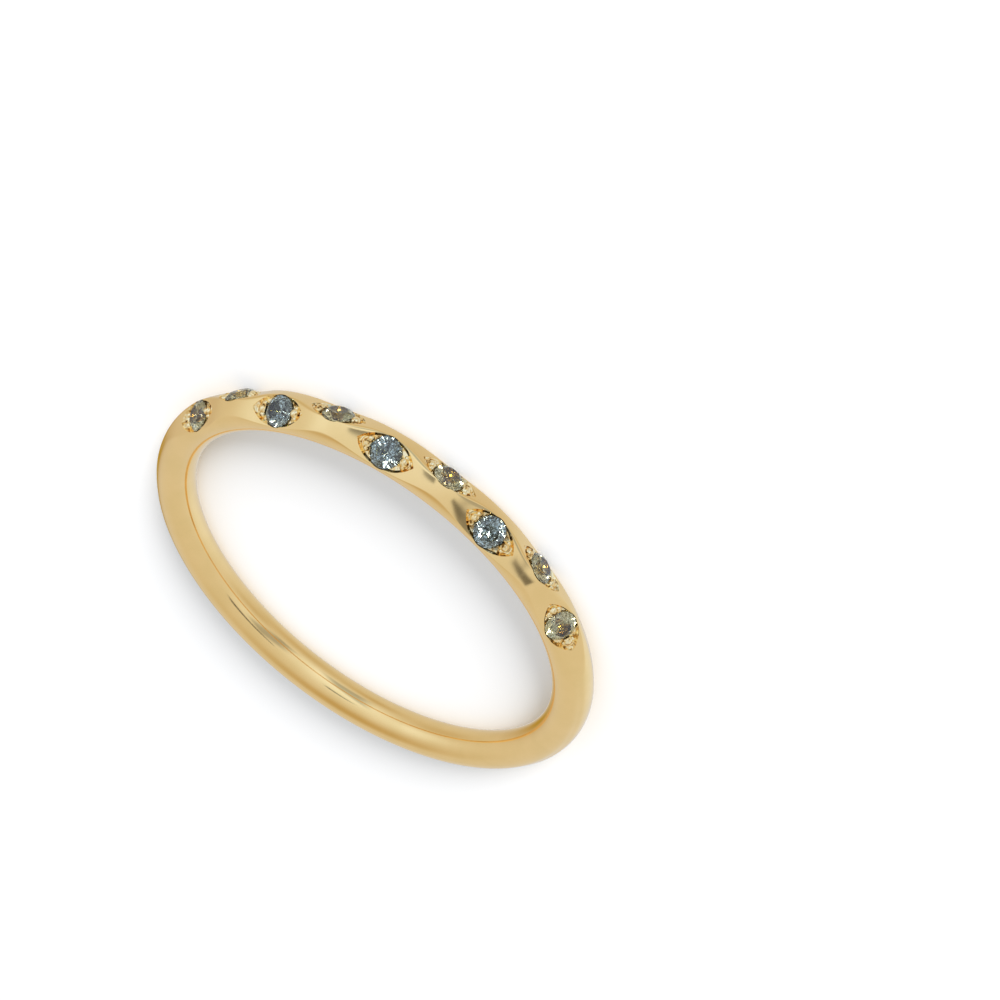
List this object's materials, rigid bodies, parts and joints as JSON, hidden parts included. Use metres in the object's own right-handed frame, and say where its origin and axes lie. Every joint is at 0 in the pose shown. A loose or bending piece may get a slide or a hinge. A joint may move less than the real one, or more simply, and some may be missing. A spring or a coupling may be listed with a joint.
{
  "type": "stackable ring",
  "caption": "Narrow stacking ring of polished gold wire; its front half is cut into two slanted facets with a winding ridge, with small round brilliants set in turn in each.",
  "frame": {"origin": "on the axis of the finger hole, in the plane on which the ring lies on its side", "axes": "+Z along the axis of the finger hole, up from the surface; the middle stone is at -Y, and +X is to the right when it faces the viewer"},
  "size_m": [0.0206, 0.0205, 0.0016],
  "materials": {
    "gold": "high polish yellow gold, bright-cut around the stones",
    "stone": "faceted and polished grey-blue gemstone"
  },
  "bodies": {
    "root": {"band": "gold", "stone_1": "stone", "stone_2": "stone", "stone_3": "stone", "stone_4": "stone", "stone_5": "stone", "stone_6": "stone", "stone_7": "stone", "stone_8": "stone", "stone_9": "stone"}
  },
  "joints": []
}
